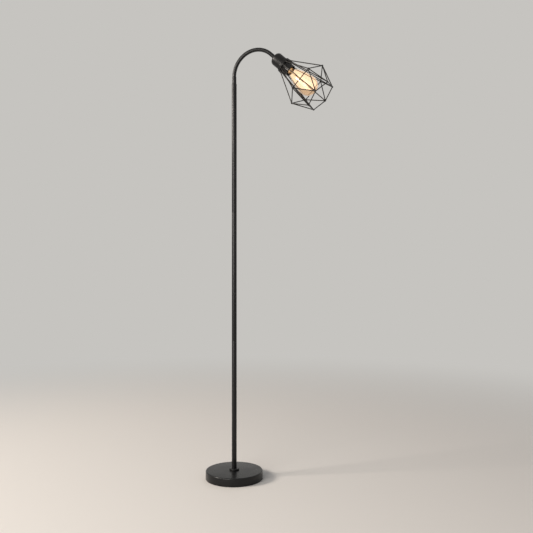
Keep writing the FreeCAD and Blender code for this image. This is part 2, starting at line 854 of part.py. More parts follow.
group("cage_spokes", about_axis(spoke))
group("cage_long_wires", about_axis(long_wire))
group("cage_waist_ring", about_axis(waist_wire))
group("cage_mouth_ring", about_axis(mouth_wire))
group("cage_diagonals", about_axis(left_diagonal) + about_axis(right_diagonal))
group("cage_welds", about_axis(bead(waist(0))) + about_axis(bead(mouth(0))))

# ---------------------------------------------------------------- ring that clamps the cage

ring_radius = s.ring_diameter / 2
ring = turned("ring_body", [
    (collar_bore / 2, ZERO),
    (ring_radius, ZERO),
    (ring_radius, s.ring_length),
    (collar_bore / 2, s.ring_length),
])
groove = new_sketch(ring, "ring_groove", "XY_Plane")
groove_centre = ring_radius + s.ring_groove / 2 - s.ring_groove_depth
circles(groove, [(groove_centre, ZERO, s.ring_groove)])
around(ring, pocket(ring, groove), s.ring_grooves)
node(ring, "shade_ring", lifted(ring_back, head))

# ---------------------------------------------------------------- bulb

bulb = lifted(bulb_seat, head)
bulb_cap_radius = s.bulb_cap_diameter / 2
bulb_cap_inside = bulb_cap_radius - s.bulb_cap_wall
button_radius = s.bulb_button_diameter / 2
shell_start = s.bulb_button_height + s.bulb_insulator_height

button = turned("button_body", [
    (ZERO, ZERO),
    (button_radius / 2, ZERO),
    (button_radius, s.bulb_button_height),
    (ZERO, s.bulb_button_height),
])
node(button, "bulb_contact", bulb)

bulb_insulator = turned("bulb_insulator_body", [
    (ZERO, ZERO),
    (button_radius, ZERO),
    (bulb_cap_inside, s.bulb_insulator_height),
    (ZERO, s.bulb_insulator_height),
])
node(bulb_insulator, "bulb_insulator", lifted(s.bulb_button_height, bulb))

shell_length = s.bulb_cap_length - shell_start
tube("bulb_shell", s.bulb_cap_diameter, bulb_cap_inside * 2, shell_length, lifted(shell_start, bulb))

# The glass is a pear: a straight neck, a double-curved flank and an elliptical crown.
glass_start = s.bulb_cap_length - s.bulb_overlap
glass_length = (s.bulb_length - glass_start).number
neck_length = s.glass_neck_length.number


def flank_arcs(foot, top, share):
    """Two arcs, the first hollow and the second full, that leave and arrive along the axis."""
    rise = top.y - foot.y
    swell = top.x - foot.x
    turn = 2 * math.atan2(swell, rise)
    total = rise / math.sin(turn)
    hollow = total * share
    full = total - hollow
    half = turn / 2

    def hollow_point(angle):
        return FreeCAD.Vector(foot.x + hollow * (1 - math.cos(angle)), foot.y + hollow * math.sin(angle), 0)

    def full_point(angle):
        return FreeCAD.Vector(top.x - full * (1 - math.cos(angle)), top.y - full * math.sin(angle), 0)

    lower = Part.Arc(hollow_point(0), hollow_point(half), hollow_point(turn))
    upper = Part.Arc(full_point(turn), full_point(half), full_point(0))
    return [lower.toBSpline().toShape(), upper.toBSpline().toShape()]


def glass_line(inset):
    """The foot, the tip and the edges of the glass's side, set in from its outside."""
    neck = s.glass_neck_diameter.number / 2 - inset
    belly = s.glass_diameter.number / 2 - inset
    crown = s.glass_crown.number - inset
    belly_height = glass_length - s.glass_crown.number
    foot = FreeCAD.Vector(neck, 0, 0)
    neck_top = FreeCAD.Vector(neck, neck_length, 0)
    side = FreeCAD.Vector(belly, belly_height, 0)
    middle = FreeCAD.Vector(0, belly_height, 0)
    tip = FreeCAD.Vector(0, belly_height + crown, 0)
    if crown > belly:
        oval = Part.ArcOfEllipse(Part.Ellipse(tip, side, middle), 3 * math.pi / 2, 2 * math.pi)
    else:
        oval = Part.ArcOfEllipse(Part.Ellipse(side, tip, middle), 0, math.pi / 2)
    flank = flank_arcs(neck_top, side, s.flank_share.number)
    return foot, tip, [Part.makeLine(foot, neck_top)] + flank + [oval.toBSpline().toShape()]


outer_foot, outer_tip, outer_line = glass_line(0)
inner_foot, inner_tip, inner_line = glass_line(s.glass_wall.number)
closing_lines = [Part.makeLine(outer_tip, inner_tip), Part.makeLine(inner_foot, outer_foot)]
glass_face = Part.Face(Part.Wire(Part.__sortEdges__(outer_line + inner_line + closing_lines)))
glass = doc.addObject("Part::Feature", "glass")
upright = glass_face.rotated(FreeCAD.Vector(0, 0, 0), FreeCAD.Vector(1, 0, 0), 90)
glass.Shape = upright.revolve(FreeCAD.Vector(0, 0, 0), FreeCAD.Vector(0, 0, 1), 360)
node(glass, "bulb_glass", lifted(glass_start, bulb))

# Inside: a glass stem, flared to the neck, with a thin mast, and a wire star at each end of the
# filaments.
flare_radius = s.glass_neck_diameter / 2 - s.glass_wall - s.insert_clearance
stem = turned("stem_body", [
    (ZERO, ZERO),
    (flare_radius, ZERO),
    (flare_radius, s.flare_edge),
    (s.stem_diameter / 2, s.flare_height),
    (s.stem_diameter / 2, s.stem_length),
    (s.mast_diameter / 2, s.stem_length),
    (s.mast_diameter / 2, s.stem_length + s.mast_length),
    (ZERO, s.stem_length + s.mast_length),
])
node(stem, "bulb_stem", lifted(glass_start, bulb))

filament_total = int(s.filament_count.number)
mast_radius = s.mast_diameter.number / 2
frame_radius = s.frame_wire.number / 2
filament_radius = s.filament_diameter.number / 2
low_height = (s.stem_length + s.mast_length - s.filament_length).number - frame_radius * 4
top_height = low_height + s.filament_length.number


def star_wire(reach, bearing, height):
    """One straight arm of a wire star, from the mast out to a filament's end."""
    start = polar(mast_radius, bearing, height)
    way = polar(1, bearing, 0)
    return Part.makeCylinder(frame_radius, reach - mast_radius, start, way)


def filament(bearing):
    """One rod filament, leaning outwards from the lower star to the upper."""
    low = polar(s.filament_low_radius.number, bearing, low_height)
    top = polar(s.filament_top_radius.number, bearing, top_height)
    return Part.makeCylinder(filament_radius, (top - low).Length, low, top - low)


bearings = [index * 360 / filament_total for index in range(filament_total)]
mast = Part.makeCylinder(mast_radius, (s.stem_length + s.mast_length).number)
rods = [filament(bearing) for bearing in bearings]
star = []
for bearing, rod in zip(bearings, rods):
    star.append(star_wire(s.filament_low_radius.number, bearing, low_height).cut([mast, rod]))
    star.append(star_wire(s.filament_top_radius.number, bearing, top_height).cut([mast, rod]))
filament_place = lifted(glass_start, bulb).toMatrix()
group("bulb_frame", [wire.transformed(filament_place) for wire in star])
group("bulb_filaments", [rod.transformed(filament_place) for rod in rods])

# ---------------------------------------------------------------- checks and files

doc.recompute()
for item in doc.Objects:
    if "Invalid" in item.State or "Error" in item.State:
        raise RuntimeError(f"{item.Label} failed: {item.State}")
for part in nodes:
    if part.Shape.isNull() or not part.Shape.isValid():
        raise RuntimeError(f"{part.Label} has no valid shape")

os.makedirs("parts", exist_ok=True)
for part in nodes:
    part.Shape.exportStep(f"parts/{part.Label}.step")
    volume = part.Shape.Volume / 1000
    print(f"{part.Label}: {len(part.Shape.Solids)} solids, {volume:.2f} cm3")
print(f"{len(nodes)} nodes, height {(arc_start + s.arm_radius + s.arm_diameter / 2).number:.0f} mm")
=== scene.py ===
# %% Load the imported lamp
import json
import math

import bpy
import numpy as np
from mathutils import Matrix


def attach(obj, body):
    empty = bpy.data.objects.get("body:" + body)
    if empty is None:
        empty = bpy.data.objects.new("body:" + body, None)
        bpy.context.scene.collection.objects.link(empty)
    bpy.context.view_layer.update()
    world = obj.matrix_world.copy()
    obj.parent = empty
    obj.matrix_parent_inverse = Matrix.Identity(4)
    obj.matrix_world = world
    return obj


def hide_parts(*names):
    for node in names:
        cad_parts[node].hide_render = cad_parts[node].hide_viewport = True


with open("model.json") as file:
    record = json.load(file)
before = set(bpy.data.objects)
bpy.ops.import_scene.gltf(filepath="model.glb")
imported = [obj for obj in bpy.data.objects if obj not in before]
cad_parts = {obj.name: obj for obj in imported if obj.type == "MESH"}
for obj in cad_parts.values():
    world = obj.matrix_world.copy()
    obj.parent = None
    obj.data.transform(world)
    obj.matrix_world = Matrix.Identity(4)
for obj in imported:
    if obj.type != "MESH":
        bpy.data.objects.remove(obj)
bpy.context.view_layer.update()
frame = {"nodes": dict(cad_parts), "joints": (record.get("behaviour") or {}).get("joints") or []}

# %% [markdown]
# # A cage floor lamp, finished in Blender
#
# The lamp comes in as plain solids: a weighted base, a pole in three tubes, a bent arm, a screw
# lampholder under a spun cup, a cage of welded wires and a pear-shaped bulb. Each solid that shows
# gets a finer surface here, worked out with numpy in millimetres and put where the solid is. The
# solids that hide inside keep their shape and only get a finish.

MM = 0.001
joints = {joint["name"]: joint for joint in frame["joints"]}

# %% [markdown]
# ## Camera
#
# The photograph was taken from about the height of the pole's middle, with the camera held level,
# so upright lines stay upright. The camera stands in front and to the right of the arm. Its place
# and lens were found by matching the base, the pole and the cage's corners.

# %% Camera
FRAME_PIXELS = 533
FOCAL_PIXELS = 666.0
SENSOR_MM = 36.0
CAMERA_PLACE = (1.178, -2.295, 0.819)
CAMERA_TURN = math.radians(24.4)

camera_data = bpy.data.cameras.new("photo_camera")
camera_data.sensor_width = SENSOR_MM
camera_data.lens = FOCAL_PIXELS / FRAME_PIXELS * SENSOR_MM
camera_data.clip_end = 200
camera = bpy.data.objects.new("photo_camera", camera_data)
camera.location = CAMERA_PLACE
camera.rotation_euler = (math.radians(90), 0, CAMERA_TURN)
bpy.context.scene.collection.objects.link(camera)
bpy.context.scene.camera = camera
print("lens", round(camera_data.lens, 2), "mm")

# %% [markdown]
# ## From formula to mesh
#
# Most pieces are a grid of points: one way along an outline or a path, the other way round it.
# A grid is quick to work out as one array. Where the last column lands on the first, or a whole row
# shrinks to one point, the doubles are merged, so that the seam and the tip are closed. The volume
# inside tells whether the faces point outwards.

# %% Meshes from grids
MERGE_DISTANCE = 1e-6
SHARP_ANGLE = math.radians(38)


def grid_faces(rows, columns, start):
    """The four-cornered faces of a grid of rows and columns whose first point has number start."""
    index = start + np.arange(rows * columns).reshape(rows, columns)
    faces = np.stack([index[:-1, :-1], index[:-1, 1:], index[1:, 1:], index[1:, :-1]], axis=-1)
    return faces.reshape(-1, 4)


def join_grids(grids):
    """Points and faces of several grids as one, with coincident points merged."""
    points = np.concatenate([grid.reshape(-1, 3) for grid in grids])
    starts = np.cumsum([0] + [grid.shape[0] * grid.shape[1] for grid in grids])
    faces = np.concatenate([
        grid_faces(grid.shape[0], grid.shape[1], start) for grid, start in zip(grids, starts)
    ])
    cells = np.round(points / MERGE_DISTANCE).astype(np.int64)
    first, merged = np.unique(cells, axis=0, return_index=True, return_inverse=True)[1:]
    return points[first], merged.reshape(-1)[faces]


def drop_doubles(faces):
    """Splits faces into four-cornered ones, and three-cornered ones where two corners fell together."""
    repeated = faces == np.roll(faces, -1, axis=1)
    count = repeated.sum(axis=1)
    triangles = faces[count == 1][~repeated[count == 1]].reshape(-1, 3)
    return faces[count == 0], triangles


def volume_inside(points, quads, triangles):
    """Six times the signed volume: the sum of each face's corners' triple product."""
    parts = np.concatenate([quads[:, [0, 1, 2]], quads[:, [0, 2, 3]], triangles])
    a, b, c = points[parts[:, 0]], points[parts[:, 1]], points[parts[:, 2]]
    return np.einsum("ij,ij->", a, np.cross(b, c))


def make_piece(name, grids, material, body, solids=()):
    """Makes one object from grids in metres, gives it its finish, and lets it ride on a body."""
    points, faces = join_grids(grids)
    quads, triangles = drop_doubles(faces)
    if volume_inside(points - points.mean(axis=0), quads, triangles) < 0:
        quads, triangles = quads[:, ::-1], triangles[:, ::-1]
    corners = np.concatenate([quads.reshape(-1), triangles.reshape(-1)])
    sizes = np.concatenate([np.full(len(quads), 4), np.full(len(triangles), 3)])
    mesh = bpy.data.meshes.new(name)
    mesh.vertices.add(len(points))
    mesh.vertices.foreach_set("co", points.astype(np.float32).reshape(-1))
    mesh.loops.add(len(corners))
    mesh.loops.foreach_set("vertex_index", corners.astype(np.int32))
    mesh.polygons.add(len(sizes))
    mesh.polygons.foreach_set("loop_start", (np.cumsum(sizes) - sizes).astype(np.int32))
    mesh.polygons.foreach_set("use_smooth", np.ones(len(sizes), dtype=bool))
    mesh.update(calc_edges=True)
    mesh.validate()
    mesh.set_sharp_from_angle(angle=SHARP_ANGLE)
    mesh.materials.append(material)
    piece = bpy.data.objects.new(name, mesh)
    bpy.context.scene.collection.objects.link(piece)
    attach(piece, body)
    if solids:
        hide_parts(*solids)
    print(name, len(points), "points,", 2 * len(quads) + len(triangles), "triangles")


# %% [markdown]
# ## Outlines with rounded corners
#
# Metal that is pressed, spun or turned never has a knife edge. An outline is given by its corners,
# each with a distance from the axis, a height and a rounding. An arc takes the place of each
# corner, tangent to both its sides, and the outline is then carried round the axis.

# %% Rounded outlines and turned shapes
ARC_STEPS = 7
TURN_STEPS = 96


def corner_arc(before, corner, after, rounding, steps=ARC_STEPS):
    """Points of the arc that is tangent to both sides of a corner: the tangent length is the
    rounding over the tangent of half the corner's angle."""
    if rounding == 0:
        return corner[None, :]
    to_before = (before - corner) / np.linalg.norm(before - corner)
    to_after = (after - corner) / np.linalg.norm(after - corner)
    half = math.acos(np.clip(to_before @ to_after, -1, 1)) / 2
    middle_way = (to_before + to_after) / np.linalg.norm(to_before + to_after)
    centre = corner + middle_way * rounding / math.sin(half)
    side_way = to_after - (to_after @ middle_way) * middle_way
    side_way = side_way / np.linalg.norm(side_way)
    reach = math.pi / 2 - half
    angle = np.linspace(-reach, reach, steps)[:, None]
    return centre - rounding * (np.cos(angle) * middle_way - np.sin(angle) * side_way)


def outline(corners):
    """A closed outline of (radius, height, rounding) corners as points, ending where it began."""
    corners = np.array(corners, dtype=float)
    places, roundings = corners[:, :2], corners[:, 2]
    before, after = np.roll(places, 1, axis=0), np.roll(places, -1, axis=0)
    arcs = [corner_arc(*row) for row in zip(before, places, after, roundings)]
    return np.concatenate(arcs + [arcs[0][:1]])


def turned(line, sides=TURN_STEPS, ripple=None):
    """Carries an outline round the Z axis: (r cos a, r sin a, z). A ripple adds to r, point by point."""
    angle = np.linspace(0, 2 * math.pi, sides + 1)
    radius, height = line[:, :1], line[:, 1:2]
    if ripple is not None:
        radius = radius + ripple(radius, height, angle[None, :])
    radius, height = np.broadcast_arrays(radius + 0 * angle, height + 0 * angle)
    grid = np.stack([radius * np.cos(angle), radius * np.sin(angle), height], axis=-1)
    grid[:, -1] = grid[:, 0]
    return grid


def dense(start, finish, spacing):
    """Points along a straight stretch of outline, closer together than the spacing."""
    start, finish = np.array(start, dtype=float), np.array(finish, dtype=float)
    count = max(2, math.ceil(np.linalg.norm(finish - start) / spacing) + 1)
    return start + (finish - start) * np.linspace(0, 1, count)[:, None]


def smooth_step(value):
    """0 below 0, 1 above 1, and 3 v^2 - 2 v^3 between."""
    value = np.clip(value, 0, 1)
    return value * value * (3 - 2 * value)


# %% [markdown]
# ## Two places to build in
#
# The stand is built upright, straight in the lamp's own frame. The lampholder, cage and bulb share
# one slanting axis. The record's cage joint says where that axis is, so the head's pieces are
# worked out upright, in millimetres from the end of the arm's bend, and then laid along it.

# %% Places
PIVOT_DEPTH = 73.3
head_axis = np.array(joints["cage_turn"]["axis"], dtype=float)
head_axis = head_axis / np.linalg.norm(head_axis)
head_side = np.array([0.0, 1.0, 0.0])
head_down = np.cross(head_side, head_axis)
bend_end = np.array(joints["cage_turn"]["pos_m"]) - head_axis * PIVOT_DEPTH * MM


def upright(grid):
    """Millimetres in the lamp's frame, as metres."""
    return grid * MM


def on_head(grid):
    """Millimetres down, sideways and along the head's axis, as metres in the lamp's frame."""
    return bend_end + MM * (
        grid[..., :1] * head_down + grid[..., 1:2] * head_side + grid[..., 2:] * head_axis)


print("end of the bend", np.round(bend_end, 4), "axis", np.round(head_axis, 3))

# %% [markdown]
# ## Finishes
#
# A finish is named for what the real surface is and how it was made. Colours are written as the
# usual hex numbers and turned into the linear values that a shader takes.

# %% Colour and node helpers
COLOUR_A, COLOUR_B, COLOUR_RESULT = 6, 7, 2
NOISE_LOW, NOISE_HIGH = 0.35, 0.65


def hex_colour(text):
    """The linear colour of an sRGB hex number such as #1C1C1D."""
    values = np.array([int(text[i:i + 2], 16) for i in (1, 3, 5)]) / 255
    linear = np.where(values <= 0.04045, values / 12.92, ((values + 0.055) / 1.055) ** 2.4)
    return (*linear.tolist(), 1.0)


def add_node(tree, kind, values=(), links=(), **settings):
    """Adds a node with its settings, its sockets' values and the links that lead into it."""
    node = tree.nodes.new(kind)
    for name, setting in settings.items():
        setattr(node, name, setting)
    for socket, value in dict(values).items():
        node.inputs[socket].default_value = value
    for socket, source in dict(links).items():
        tree.links.new(source, node.inputs[socket])
    return node


def new_finish(name, values):
    """A material with one Principled shader set to the values, its node tree and that shader."""
    finish = bpy.data.materials.new(name)
    finish.use_nodes = True
    shader = finish.node_tree.nodes["Principled BSDF"]
    for socket, value in values.items():
        shader.inputs[socket].default_value = value
    return finish, finish.node_tree, shader


def grain(tree, size_mm, detail=2.0):
    """Noise on the object's own coordinates whose spots are about size_mm across."""
    place = add_node(tree, "ShaderNodeTexCoord")
    return add_node(tree, "ShaderNodeTexNoise", {"Scale": 1000 / size_mm, "Detail": detail},
                    {"Vector": place.outputs["Object"]}).outputs["Fac"]


def spread(tree, source, low, high):
    """Maps a noise from its usual middle range onto low to high."""
    return add_node(tree, "ShaderNodeMapRange", {
        "From Min": NOISE_LOW, "From Max": NOISE_HIGH, "To Min": low, "To Max": high,
    }, {"Value": source}).outputs["Result"]


def two_tone(tree, factor, dark, light):
    """Blends two colours by a factor."""
    blend = add_node(tree, "ShaderNodeMix", data_type="RGBA")
    blend.inputs[COLOUR_A].default_value = hex_colour(dark)
    blend.inputs[COLOUR_B].default_value = hex_colour(light)
    tree.links.new(factor, blend.inputs["Factor"])
    return blend.outputs[COLOUR_RESULT]


def relief(tree, shader, height, distance_mm, strength=1.0):
    """Bumps the surface by a height of at most distance_mm."""
    bump = add_node(tree, "ShaderNodeBump", {"Strength": strength, "Distance": distance_mm * MM},
                    {"Height": height})
    tree.links.new(bump.outputs["Normal"], shader.inputs["Normal"])


# %% [markdown]
# ### Powder coat on steel
#
# The stand, the arm, the cup and the cage are steel with a baked polyester powder coat, satin
# black. The powder melts into a skin with a slight orange peel, about 1.5 mm from hump to hump.
# That is too fine to show here, so it is drawn at 3 mm. The colour and the gloss both vary a little
# from place to place. The wire is a warmer black than the tubes.

# %% Powder coat
PEEL_MM = 3.0


def powder_coat(name, dark, light, gloss_low, gloss_high, mottle_mm=45.0):
    """A satin powder coat: two near blacks in slow patches, uneven gloss and a fine orange peel."""
    finish, tree, shader = new_finish(name, {"IOR": 1.5, "Specular IOR Level": 0.3})
    patches = grain(tree, mottle_mm)
    peel = grain(tree, PEEL_MM, 1.0)
    tree.links.new(two_tone(tree, spread(tree, patches, 0, 1), dark, light), shader.inputs["Base Color"])
    tree.links.new(spread(tree, patches, gloss_high, gloss_low), shader.inputs["Roughness"])
    relief(tree, shader, peel, 0.03, 0.15)
    return finish


stand_coat = powder_coat("powder_coated_steel_stand", "#0B0B0C", "#101011", 0.27, 0.33)
head_coat = powder_coat("powder_coated_steel_head", "#0C0C0C", "#121111", 0.3, 0.36, 20.0)
wire_coat = powder_coat("powder_coated_wire", "#100D0A", "#17130F", 0.32, 0.4, 12.0)

# %% [markdown]
# ### Moulded resin, porcelain, rubber and cast iron
#
# The lampholder's skirt and its ring are moulded phenolic resin: black, a little glossy, with faint
# flow marks. Its inner block is unglazed porcelain. The inlet and the disc under the base are
# plain black rubber. The weight is a rough iron casting.

# %% Resin, porcelain, rubber and iron


def moulded(name, dark, light, gloss_low, gloss_high, spot_mm, relief_mm):
    """A moulded or cast surface: two tones, uneven gloss and a relief of the same spots."""
    finish, tree, shader = new_finish(name, {"IOR": 1.5})
    spots = grain(tree, spot_mm, 4.0)
    tree.links.new(two_tone(tree, spread(tree, spots, 0, 1), dark, light), shader.inputs["Base Color"])
    tree.links.new(spread(tree, spots, gloss_high, gloss_low), shader.inputs["Roughness"])
    relief(tree, shader, spots, relief_mm, 0.6)
    return finish


phenolic = moulded("moulded_phenolic_resin", "#0A0909", "#110F0F", 0.24, 0.32, 8.0, 0.02)
porcelain = moulded("unglazed_porcelain", "#D8D2C4", "#E6E1D6", 0.5, 0.65, 3.0, 0.03)
rubber = moulded("moulded_rubber", "#161616", "#1F1F1F", 0.6, 0.75, 2.0, 0.04)
floor_rubber = moulded("sheet_rubber", "#191919", "#242424", 0.7, 0.85, 1.5, 0.1)
cast_iron = moulded("cast_iron", "#2A2826", "#3B3733", 0.55, 0.75, 4.0, 0.3)

# %% [markdown]
# ### Metals
#
# Nuts, washers and threaded tubes are steel with a bright zinc plating, whose crystals give slow
# patches. The screw shell and the contacts are rolled brass. The bulb's cap is nickel on brass, and
# its solder point is dull tin.

# %% Metals


def plated(name, dark, light, gloss_low, gloss_high, spot_mm):
    """A bare or plated metal: two tones and uneven gloss."""
    finish, tree, shader = new_finish(name, {"Metallic": 1.0})
    spots = grain(tree, spot_mm, 3.0)
    tree.links.new(two_tone(tree, spread(tree, spots, 0, 1), dark, light), shader.inputs["Base Color"])
    tree.links.new(spread(tree, spots, gloss_high, gloss_low), shader.inputs["Roughness"])
    relief(tree, shader, spots, 0.01, 0.4)
    return finish


zinc = plated("zinc_plated_steel", "#9A9C9C", "#BDBFBD", 0.25, 0.4, 4.0)
brass = plated("rolled_brass", "#A8823F", "#C79F55", 0.25, 0.38, 5.0)
nickel = plated("nickel_plated_brass", "#A39C8F", "#BEB8AC", 0.2, 0.32, 4.0)
solder = plated("tin_solder", "#8E8D8A", "#A9A8A4", 0.35, 0.5, 1.5)
support_wire = plated("drawn_nickel_wire", "#8F897F", "#A8A297", 0.25, 0.35, 2.0)

# %% [markdown]
# ### Glass and light
#
# The bulb is blown soda glass with a faint amber stain, which makes its light warmer. The light
# scatters a little in the glass, so the whole bulb glows tan while it is lit, least at its neck and
# most at its crown. The rods inside are coated in phosphor and glow nearly white.

# %% Glass and light
GLOW_START_MM, GLOW_END_MM = 125.0, 240.0
NECK_GLOW, CROWN_GLOW = 0.02, 0.07


def blown_glass(name, tint, glow, glow_strength, roughness):
    """Clear thin glass with a tint that also glows a little."""
    return new_finish(name, {
        "Base Color": hex_colour(tint), "Transmission Weight": 1.0, "IOR": 1.5, "Roughness": roughness,
        "Emission Color": hex_colour(glow), "Emission Strength": glow_strength,
    })


amber_glass, tree, shader = blown_glass("amber_blown_glass", "#F5E3CD", "#DDB590", NECK_GLOW, 0.03)
place = add_node(tree, "ShaderNodeTexCoord")
depth = add_node(tree, "ShaderNodeVectorMath", {1: tuple(head_axis)}, {0: place.outputs["Object"]},
                 operation="DOT_PRODUCT")
glow = add_node(tree, "ShaderNodeMapRange", {
    "From Min": float(bend_end @ head_axis) + GLOW_START_MM * MM,
    "From Max": float(bend_end @ head_axis) + GLOW_END_MM * MM,
    "To Min": NECK_GLOW, "To Max": CROWN_GLOW,
}, {"Value": depth.outputs["Value"]}, interpolation_type="SMOOTHSTEP")
tree.links.new(glow.outputs["Result"], shader.inputs["Emission Strength"])
stem_glass = blown_glass("drawn_glass", "#F6F2E8", "#FFDDB0", 0.12, 0.03)[0]
cap_glass = moulded("black_cap_glass", "#0B0B0D", "#121214", 0.08, 0.16, 3.0, 0.01)
rod_light = new_finish("phosphor_rod", {
    "Base Color": hex_colour("#FFE9C4"), "Roughness": 0.5,
    "Emission Color": hex_colour("#FFEFD2"), "Emission Strength": 1.8,
})[0]

# %% [markdown]
# ## The base
#
# A steel pan, pressed from sheet and turned upside down over an iron weight, with a rounded edge.
# One outline makes its outer and its inner wall together, 1.2 mm apart, so that the rim shows its
# thickness. The rubber inlet for the lead is made further on and sits in the back of its wall. No
# hole is cut behind it: the wall closes the inlet's bore 2 mm in, black on black.

# %% Base shell
BASE_RADIUS = 110.0
BASE_TOP = 33.0
SHELL_WALL = 1.2
SHELL_EDGE = 4.0
RIM_HEIGHT = 1.0
CENTRE_HOLE = 5.2

base_outline = outline([
    (CENTRE_HOLE, BASE_TOP, 0),
    (CENTRE_HOLE, BASE_TOP - SHELL_WALL, 0),
    (BASE_RADIUS - SHELL_WALL, BASE_TOP - SHELL_WALL, SHELL_EDGE - SHELL_WALL),
    (BASE_RADIUS - SHELL_WALL, RIM_HEIGHT, 0.4),
    (BASE_RADIUS, RIM_HEIGHT, 0.5),
    (BASE_RADIUS, BASE_TOP, SHELL_EDGE),
])
make_piece("base_shell", [upright(turned(base_outline, 192))], stand_coat, "stand", ["base_cover"])

# %% Pole foot
POLE_START = 35.0
FOOT_RADIUS = 19.0
FOOT_TOP = 40.0
FOOT_SOCKET_RADIUS = 9.6

foot_outline = outline([
    (FOOT_SOCKET_RADIUS, FOOT_TOP, 0.3), (FOOT_SOCKET_RADIUS, POLE_START, 0), (CENTRE_HOLE, POLE_START, 0),
    (CENTRE_HOLE, BASE_TOP, 0), (FOOT_RADIUS, BASE_TOP, 0.3), (FOOT_RADIUS, FOOT_TOP, 2.0),
])
make_piece("pole_foot_collar", [upright(turned(foot_outline))], stand_coat, "stand", ["pole_foot"])

# %% [markdown]
# ## The pole
#
# Three equal lengths of steel tube, screwed together through threaded inserts. Each end has a
# 0.4 mm rounding, so a seam shows as a fine line where two tubes meet.

# %% Pole tubes
POLE_RADIUS = 9.5
POLE_BORE = 8.3
TUBE_LENGTH = 496.0
SEAM_ROUNDING = 0.4


def pole_tube(start):
    """A tube from start up by one length, with rounded outer ends."""
    top = start + TUBE_LENGTH
    line = outline([
        (POLE_BORE, start, 0), (POLE_RADIUS, start, SEAM_ROUNDING),
        (POLE_RADIUS, top, SEAM_ROUNDING), (POLE_BORE, top, 0),
    ])
    return upright(turned(line))


TUBE_NAMES = ["lower", "middle", "upper"]
for number, tube_name in enumerate(TUBE_NAMES):
    make_piece(f"pole_tube_{tube_name}", [pole_tube(POLE_START + number * TUBE_LENGTH)], stand_coat,
               "stand", [f"pole_{tube_name}"])

# %% [markdown]
# ## Swivel, ferrule and arm
#
# The arm's foot turns in a flanged bush in the pole's top, with a ferrule above it, so the pole steps
# down to the arm in two small steps. The arm is one tube, bent in a single arc and hollow to its end:
# its outer and inner wall are both circles carried along the same line.

# %% Bush and ferrule
POLE_TOP = POLE_START + len(TUBE_NAMES) * TUBE_LENGTH
BUSH_BOTTOM = POLE_TOP - 30.0
BUSH_TOP = POLE_TOP + 1.5
BUSH_BORE = 7.45
BUSH_RADIUS = 8.25
FERRULE_START = BUSH_TOP + 0.3
FERRULE_TOP = FERRULE_START + 28.0
FERRULE_RADIUS = 8.25

bush_outline = outline([
    (BUSH_BORE, BUSH_BOTTOM, 0.3), (BUSH_RADIUS, BUSH_BOTTOM, 0.3), (BUSH_RADIUS, POLE_TOP, 0),
    (POLE_RADIUS, POLE_TOP, 0.2), (POLE_RADIUS, BUSH_TOP, 0.5), (BUSH_BORE, BUSH_TOP, 0.2),
])
make_piece("swivel_flange", [upright(turned(bush_outline))], head_coat, "stand", ["swivel_bush"])
ferrule_outline = outline([
    (BUSH_BORE, FERRULE_START, 0), (FERRULE_RADIUS, FERRULE_START, 0.4),
    (FERRULE_RADIUS, FERRULE_TOP, 0.8), (BUSH_BORE, FERRULE_TOP, 0),
])
make_piece("arm_sleeve", [upright(turned(ferrule_outline))], stand_coat, "arm", ["arm_ferrule"])

# %% Arm
ARM_RADIUS = 7.4
ARM_BORE = 6.2
ARM_FOOT = 1486.7
BEND_RADIUS = 92.0
HEAD_TILT = 42.0
ARM_TAIL = 25.0
BEND_STEPS = 90


def arm_line():
    """The arm's centre line and its direction: straight up, round one arc, and on along the tangent."""
    angle = np.linspace(0, math.radians(90 + HEAD_TILT), BEND_STEPS)
    out, up = BEND_RADIUS * (1 - np.cos(angle)), FERRULE_TOP + BEND_RADIUS * np.sin(angle)
    arc = np.stack([out, 0 * angle, up], 1)
    way = np.stack([np.sin(angle), 0 * angle, np.cos(angle)], 1)
    foot = np.array([[0, 0, ARM_FOOT]])
    tail = arc[-1:] + way[-1:] * ARM_TAIL
    return np.concatenate([foot, arc, tail]), np.concatenate([way[:1], way, way[-1:]])


def swept(path, ways, side, radii, sides=48):
    """Circles round a path: each point is path + r (cos a side + sin a (way x side))."""
    angle = np.linspace(0, 2 * math.pi, sides + 1)
    other = np.cross(ways, side)
    ring = np.cos(angle)[None, :, None] * side + np.sin(angle)[None, :, None] * other[:, None, :]
    grid = path[:, None, :] + np.asarray(radii)[:, None, None] * ring
    grid[:, -1] = grid[:, 0]
    return grid


path, ways = arm_line()
outer_wall = swept(path, ways, head_side, np.full(len(path), ARM_RADIUS))
inner_wall = swept(path[::-1], ways[::-1], head_side, np.full(len(path), ARM_BORE))
arm_grid = np.concatenate([outer_wall, inner_wall, outer_wall[:1]])
make_piece("arm_bend", [upright(arm_grid)], stand_coat, "arm", ["arm_tube"])

# %% [markdown]
# ## The lampholder
#
# A spun steel cup with a round shoulder covers the back of the lampholder. Out of its mouth comes
# the resin skirt, with a coarse thread moulded on its outside for the ring. A thread is a ridge
# that climbs by one pitch in a turn: the radius grows and shrinks with height over pitch minus
# angle over a full turn, and it fades out at both ends.

# %% Cup
CUP_BACK = 25.0
CUP_FRONT = 72.0
CUP_RADIUS = 25.0
CUP_WALL = 1.2
CUP_SHOULDER = 12.0

cup_outline = outline([
    (CENTRE_HOLE, CUP_BACK, 0),
    (CUP_RADIUS, CUP_BACK, CUP_SHOULDER),
    (CUP_RADIUS, CUP_FRONT, 0.5),
    (CUP_RADIUS - CUP_WALL, CUP_FRONT, 0.5),
    (CUP_RADIUS - CUP_WALL, CUP_BACK + CUP_WALL, CUP_SHOULDER - CUP_WALL),
    (CENTRE_HOLE, CUP_BACK + CUP_WALL, 0),
])
make_piece("lampholder_cup", [on_head(turned(cup_outline))], head_coat, "arm", ["holder_cap"])

